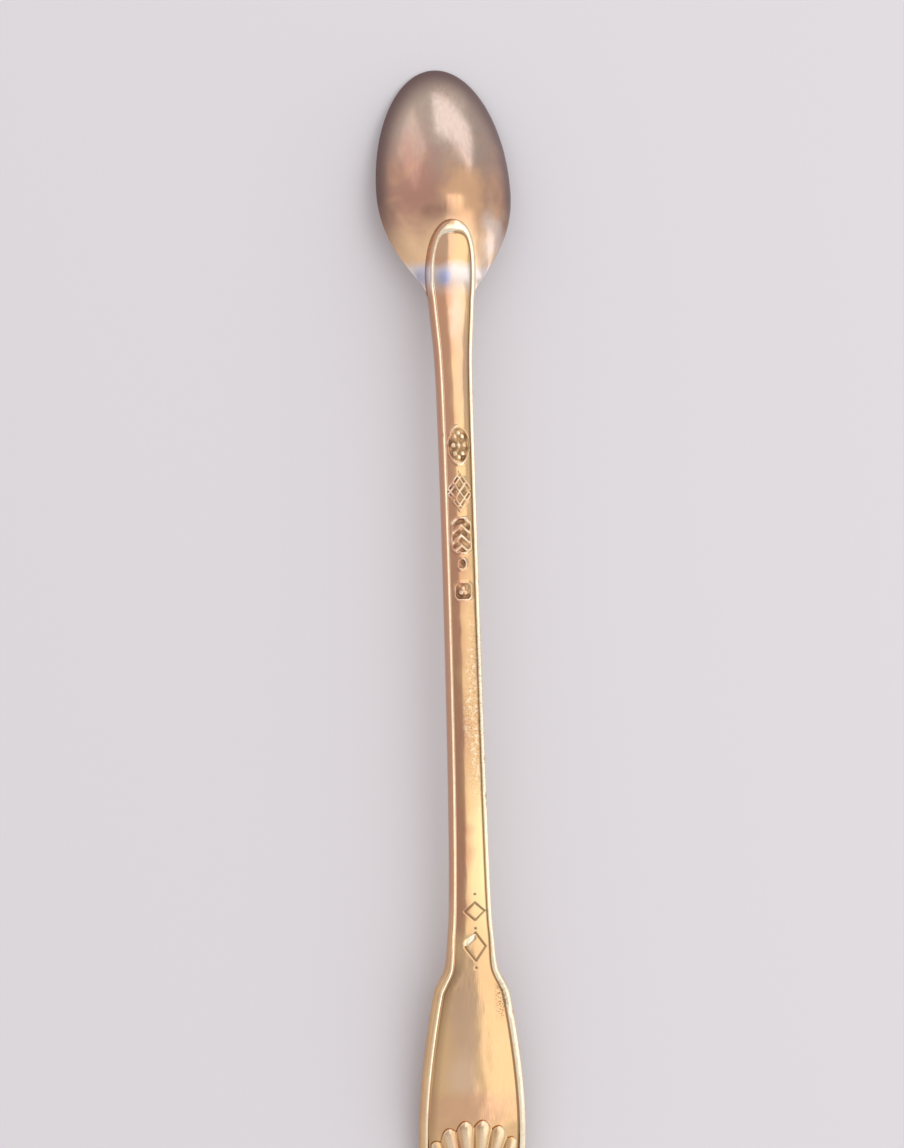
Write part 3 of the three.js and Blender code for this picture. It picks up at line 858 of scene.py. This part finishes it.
# Painted highlights on the lit and rubbed edges, patchy at the scale of the speckle, and painted
# glints in the satin patch.
tone = add(tree, "Attribute", out="Fac", attribute_name="tone")
speckle = add(
    tree, "TexNoise", {"Vector": place, "Scale": 1 / (SPECKLE_SIZE * MM), "Detail": 5.0}
)
patchy = add(tree, "MapRange", {0: speckle, 1: 0.3, 2: 0.6, 3: 0.72, 4: 1.0})
lit_and_rubbed = add(tree, "MapRange", {0: tone, 1: 0.15, 2: 0.9, 3: 0.0, 4: 0.95})
lit_and_rubbed = add(tree, "Math", {0: lit_and_rubbed, 1: patchy}, operation="MULTIPLY")
satin = patch(tree, cloud, *SATIN_PATCH)
pits = add(tree, "TexNoise", {"Vector": place, "Scale": 1 / (PIT_SIZE * MM), "Detail": 2.0})
glints = add(tree, "MapRange", {0: speckle, 1: 0.5, 2: 0.68, 3: 0.0, 4: 0.75})
glints = add(tree, "Math", {0: glints, 1: satin}, operation="MULTIPLY")
lit_and_rubbed = add(tree, "Math", {0: lit_and_rubbed, 1: glints}, operation="MAXIMUM")

# Painted shade in the recesses, and dirt in the pits of the satin patch and of a smudge on the flat
# end.
pitted = patch(tree, cloud, *SMUDGE_PATCH)
pitted = add(tree, "Math", {0: pitted, 1: satin}, operation="ADD")
smudge = add(tree, "MapRange", {0: pits, 1: 0.45, 2: 0.65, 3: 0.0, 4: 0.4})
smudge = add(tree, "Math", {0: smudge, 1: pitted}, operation="MULTIPLY")
shade_and_dirt = add(tree, "MapRange", {0: tone, 1: -0.9, 2: -0.1, 3: 0.85, 4: 0.0})
shade_and_dirt = add(tree, "Math", {0: shade_and_dirt, 1: smudge}, operation="MAXIMUM")

# Painted bluish-white reflection across the neck, drawn as bare silver.
painted_reflection = reflection_band(tree, place)
colour = layered(tree, GILT, [
    (patch(tree, cloud, *LIT_STEM_PATCH), LIT_GILT),
    (rosier, ROSE_REFLECTED),
    (patch(tree, cloud, *NECK_SHEEN_PATCH), NECK_SHEEN),
    (grey_reflection, GREY_REFLECTION),
    (patch(tree, cloud, *END_SHEEN_PATCH), PALE_SHEEN),
    (patch(tree, cloud, *FLUSH_PATCH), FLUSHED),
    (painted_reflection, PALE_REFLECTION),
    (patch(tree, place, *HANDLE_BLUE_REFLECTION), BLUE_REFLECTION),
    (lit_and_rubbed, RUBBED_AND_LIT),
    (shade_and_dirt, SHADE_AND_DIRT),
])

# The satin patch, the band of painted reflection across the neck and the cast shells are less glossy
# than the rest.
scratches = scratched(tree, place, *HANDLE_SCRATCH, detail=5.0)
smooth, rough = HANDLE_ROUGHNESS
gloss = add(tree, "MapRange", {0: scratches, 1: NOISE_LOW, 2: NOISE_HIGH, 3: smooth, 4: rough})
gloss = add(tree, "Math", {0: satin, 1: SATIN_ROUGHNESS, 2: gloss}, operation="MULTIPLY_ADD")
gloss = add(tree, "Math", {0: painted_reflection, 1: BAND_ROUGHNESS, 2: gloss}, operation="MULTIPLY_ADD")
cast = fade(tree, place, *CAST_FADE, "LINEAR")
gloss = add(tree, "Math", {0: gloss, 1: cast}, operation="ADD")
pits = add(tree, "Math", {0: satin, 1: pits}, operation="MULTIPLY")
height = add(tree, "Math", {0: pits, 1: PIT_HEIGHT, 2: scratches}, operation="MULTIPLY_ADD")
relief = add(tree, "Bump", {"Strength": 0.3, "Distance": SCRATCH_DEPTH * MM, "Height": height})
for name, socket in (("Base Color", colour), ("Roughness", gloss), ("Normal", relief)):
    tree.links.new(socket, shader.inputs[name])
handle.data.materials.append(gilt)
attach(handle, "root")
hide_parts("handle")


# Heel solder
# The seam round the tongue and against the end of the tang, run with silver solder. It stands in a
# small fillet at the tongue's edge and has darkened more than the gilding.

FILLET = 0.14
FILLET_BULGE, BULGE_PLACE = 0.12, 0.4  # height of its bulge, and place as a share of its width
SEAM_LIP = 0.06  # the fillet climbs this far up the tongue's side
SEAM_DEPTH = 0.5  # how far the seam runs in under the tongue
SUNK = 0.05  # overlap into the bowl's wall
BEAD = [
    (-FILLET, -SUNK), (-BULGE_PLACE * FILLET, FILLET_BULGE), (0, HEEL_SEAM + SEAM_LIP),
    (SEAM_DEPTH, HEEL_SEAM + SUNK), (SEAM_DEPTH, -SUNK), (-FILLET, -SUNK),
]
lap = [j for j in range(len(stations)) if stations[j][1] > tang_y]
lap = [(1, j) for j in lap] + [(-1, j) for j in lap[-2::-1]]


def bead_point(i, j):
    hand, station = lap[j]
    depth, lift = BEAD[i]
    x, y = stations[station] + depth * inwards[station]
    return hand * x, y, bowl_back(x, y) + lift, -1.0


bm = sheet(len(BEAD), len(lap), bead_point)
BUTT_INSET = 0.12  # the fill of the butt joint stands this far inside the tang's outline
butt_height = BOWL_WALL + HEEL_SEAM - 2 * BUTT_INSET
butt_middle = Vector((0, neck_y + HEEL_SEAM / 2, NECK_LIFT + BUTT_INSET + butt_height / 2))
butt_size = Vector((2 * (TANG_HALF_WIDTH - BUTT_INSET), HEEL_SEAM + 2 * SUNK, butt_height))
butt = bmesh.ops.create_cube(bm, size=1)["verts"]
bmesh.ops.scale(bm, verts=butt, vec=butt_size * MM)
bmesh.ops.translate(bm, verts=butt, vec=butt_middle * MM)
seam = finished("heel_seam", bm)

# Silver solder as it flowed: duller than polished metal, and blotched brown where it has tarnished.
TARNISHED_SOLDER, PALE_SOLDER = "#a08069", "#c4a78e"
BLOTCH_SIZE = 0.8
SOLDER_ROUGHNESS = 0.4
solder, tree, shader = metal("silver_solder")
place = add(tree, "TexCoord", out="Object")
blotch = add(
    tree, "TexNoise", {"Vector": place, "Scale": 1 / (BLOTCH_SIZE * MM), "Detail": 3.0}
)
colour = layered(tree, TARNISHED_SOLDER, [(blotch, PALE_SOLDER)])
tree.links.new(colour, shader.inputs["Base Color"])
shader.inputs["Roughness"].default_value = SOLDER_ROUGHNESS
seam.data.materials.append(solder)
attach(seam, "root")
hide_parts("heel_solder")


# Shells
# Two cast scallop shells, one soldered on each face of the fiddle end, with their hinge at the end
# of the handle and their lobes towards the bowl. They are chased after casting and gilded like the
# handle, with the handle's material.

SHELL_LENGTH = 19.4
SHELL_FAN = math.radians(100)
SHELL_LOBES = 10
SHELL_MARGIN = 0.35  # between the shell and the thread
SHELL_SEAM = 0.12  # solder under the shell
SHELL_RELIEF = 0.8
SHELL_EDGE = 0.25  # thickness of its edge
LOBE_NOTCH = 0.065  # depth of the notch between two tips, as a share of the length
LOBE_HALF = 0.94  # half of the lobe's breadth; the rest is groove
LOBE_POWER = 2.4  # 2 is a round lobe, more is a flatter one
TIP_POWER = 8  # the same along a lobe: it keeps its height until close to the tip
HINGE_SWELL = 0.45  # height of the lobes at the hinge, as a share of that at their tips
HINGE_START = 0.04  # where the rows start, as a share of the way to the tips
LOBE_STEPS = 28
SHELL_ROWS = 60
REACH_STEPS = 400
# Tones: a painted highlight on the lobes' tops, painted shade in the grooves and round the seat.
LOBE_TONE, GROOVE_TONE, SEAT_TONE = 0.5, -0.45, -0.32
hinge_y = end_y + FIDDLE_THREAD + SHELL_MARGIN


def field_height(side, x, y):
    """Height of the handle's field, which the shell lies on."""
    return crest(side, x, y) - side * (THREAD_DEPTH - crown(x, y))


def shell_reach(angle):
    """Length of the shell from its hinge: an oval, or less where the thread leaves less room."""
    along, across = math.cos(angle) / SHELL_LENGTH, math.sin(angle) / (2 * fiddle_half_width)
    reaches = np.linspace(0, along / (along**2 + across**2), REACH_STEPS)
    room = handle_half(hinge_y + reaches * math.cos(angle)) - FIDDLE_THREAD - SHELL_MARGIN
    return reaches[room - reaches * abs(math.sin(angle)) >= -TINY].max()


lobe_angles = np.linspace(-SHELL_FAN / 2, SHELL_FAN / 2, SHELL_LOBES * LOBE_STEPS + 1)
reach_of = [shell_reach(angle) for angle in lobe_angles]
shell_rows = np.sin(np.linspace(HINGE_START, 1, SHELL_ROWS) * math.pi / 2)


def shell_point(i, j, side):
    """The top from the hinge to the lobes' tips, between two rows of the seat."""
    across = 2 * (i % LOBE_STEPS) / LOBE_STEPS - 1
    reach = reach_of[i] * (1 - LOBE_NOTCH * across * across)
    row = shell_rows[min(max(j - 1, 0), SHELL_ROWS - 1)]
    if j == SHELL_ROWS + 2:
        row = shell_rows[0]
    x, y = row * reach * math.sin(lobe_angles[i]), hinge_y + row * reach * math.cos(lobe_angles[i])
    base = field_height(side, x, y) + side * SHELL_SEAM
    if not 0 < j <= SHELL_ROWS:
        return x, y, base, SEAT_TONE
    round_off = math.sqrt(1 - min(1.0, abs(across) / LOBE_HALF) ** LOBE_POWER)
    swell = round_off * (HINGE_SWELL + (1 - HINGE_SWELL) * row)
    swell *= math.sqrt(max(0.0, 1 - row**TIP_POWER))
    height = SHELL_EDGE + (SHELL_RELIEF - SHELL_EDGE) * swell
    tone = LOBE_TONE * smoothstep(round_off, 0.8, 1.0)
    tone += GROOVE_TONE * smoothstep(-round_off, -0.6, -0.2)
    return x, y, base + side * height, tone


for side, name in ((1, "shell_back"), (-1, "shell_front")):
    bm = sheet(len(lobe_angles), SHELL_ROWS + 3, lambda i, j: shell_point(i, j, side))
    shell = finished(name + "_casting", bm)
    shell.data.materials.append(gilt)
    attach(shell, "root")
    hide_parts(name)


# Table
# A plain pale sheet of card, laid flat and wide enough to fill the view and take the spoon's
# shadow. It lies a hair below the spoon, so that the two never share a face.

TABLE_SIZE = 3000.0
TABLE_DROP = 0.05
CARD = "#e4e1e6"
CARD_ROUGHNESS = 0.9
bm = bmesh.new()
bmesh.ops.create_grid(bm, x_segments=1, y_segments=1, size=TABLE_SIZE / 2 * MM)
bmesh.ops.translate(bm, verts=bm.verts, vec=(0, 0, -TABLE_DROP * MM))
table_mesh = bpy.data.meshes.new("table")
bm.to_mesh(table_mesh)
bm.free()
table = bpy.data.objects.new("table", table_mesh)
bpy.context.scene.collection.objects.link(table)
card = bpy.data.materials.new("pale_card")
card.use_nodes = True
card_shader = card.node_tree.nodes["Principled BSDF"]
card_shader.inputs["Base Color"].default_value = linear(CARD)
card_shader.inputs["Roughness"].default_value = CARD_ROUGHNESS
table.data.materials.append(card)


# Light
# Soft studio panes in a pale room: two stand beyond the bowl's tip and show on the bowl, one stands
# low on the right, and four windows overhead, all on the right, show along the bowl's heel and the
# handle. A lamp's radiance adds to that of the room behind it.

WINDOW_HEIGHT = 0.47  # in metres
# Name, place in metres, point aimed at, width, height, radiance and colour.
PANES = [
    ("right_pane", (0.21, 0.55, 0.26), (0.02, 0.09, 0.01), 0.48, 0.24, 0.95, "#f0f6ff"),
    ("left_pane", (-0.38, 0.55, 0.33), (0.0, 0.09, 0.01), 0.34, 0.33, 0.42, "#fffaf4"),
    ("side_pane", (0.5, -0.22, 0.16), (0.0, 0.0, 0.01), 0.34, 0.16, 0.7, "#fffdfa"),
]
# Name, middle across and along in metres, width, length, radiance and colour.
WINDOWS = [
    ("far_window", 0.145, 0.12, 0.25, 0.20, 0.8, "#fffdf6"),
    ("wide_window", 0.235, -0.02, 0.43, 0.08, 0.62, "#fffdf6"),
    ("mid_window", 0.235, -0.11, 0.43, 0.10, 0.81, "#fffaf0"),
    ("near_window", 0.315, -0.235, 0.38, 0.15, 0.77, "#fffaf0"),
]


def soft_lamp(name, place, aim, width, height, glow, colour):
    """An area lamp whose face has that radiance."""
    data = bpy.data.lights.new(name, "AREA")
    data.shape = "RECTANGLE"
    data.size, data.size_y = width, height
    data.energy = glow * math.pi * width * height
    data.color = linear(colour)[:3]
    lamp = bpy.data.objects.new(name, data)
    lamp.location = place
    lamp.rotation_euler = (Vector(aim) - Vector(place)).to_track_quat("-Z", "Y").to_euler()
    bpy.context.scene.collection.objects.link(lamp)


for pane in PANES:
    soft_lamp(*pane)
for name, x, y, *window in WINDOWS:
    soft_lamp(name, (x, y, WINDOW_HEIGHT), (x, y, 0), *window)

# The room is pale, with a dimmer strip of ceiling across the handle's stem. Places on it are given
# as directions from the spoon.
WALLS, CEILING = "#e8e6e6", "#c6c3c2"
STRIP_ALONG = -0.12
STRIP_CORE, STRIP_EDGE = 0.06, 0.21
STRIP_LOW, STRIP_HIGH = 0.75, 0.93
world = bpy.data.worlds.new("room")
bpy.context.scene.world = world
world.use_nodes = True
tree = world.node_tree
way = add(tree, "TexCoord", out="Generated")
along = add(tree, "SeparateXYZ", {0: way}, out="Y")
upward = add(tree, "SeparateXYZ", {0: way}, out="Z")
off = add(tree, "Math", {0: along, 1: STRIP_ALONG}, operation="SUBTRACT")
off = add(tree, "Math", {0: off}, operation="ABSOLUTE")
strip = add(
    tree, "MapRange", {0: off, 1: STRIP_CORE, 2: STRIP_EDGE, 3: 1.0, 4: 0.0},
    interpolation_type="SMOOTHSTEP",
)
overhead = add(
    tree, "MapRange", {0: upward, 1: STRIP_LOW, 2: STRIP_HIGH}, interpolation_type="SMOOTHSTEP"
)
dimmer = add(tree, "Math", {0: strip, 1: overhead}, operation="MULTIPLY")
room = layered(tree, WALLS, [(dimmer, CEILING)])
tree.links.new(room, tree.nodes["Background"].inputs["Color"])


# Camera
# It looks down on the spoon's back from a little to the left, far enough away that the view is
# almost flat. The bowl is at the top of the frame, and the handle's end runs out of the bottom.

FRAME_PIXELS = 1148  # height of the image
PIXELS_PER_MM = 5.847  # at the aim point
CAMERA_DISTANCE = 600.0
SENSOR_HEIGHT = 24.0
LEAN = math.radians(11.63)
ROLL = math.radians(1.80)
AIM = Vector((0.26, 13.844, 0))
away = Vector((-math.sin(LEAN), 0, math.cos(LEAN)))
up = Vector((math.sin(ROLL), math.cos(ROLL), 0))
right = up.cross(away).normalized()
turn = Matrix((right, away.cross(right), away)).transposed()
camera = bpy.data.objects.new("camera", bpy.data.cameras.new("camera"))
camera.matrix_world = Matrix.Translation((AIM + CAMERA_DISTANCE * away) * MM) @ turn.to_4x4()
camera.data.sensor_fit = "VERTICAL"
camera.data.sensor_height = SENSOR_HEIGHT
camera.data.lens = SENSOR_HEIGHT * CAMERA_DISTANCE * PIXELS_PER_MM / FRAME_PIXELS
bpy.context.scene.collection.objects.link(camera)
bpy.context.scene.camera = camera
bpy.context.scene.view_settings.view_transform = "Standard"
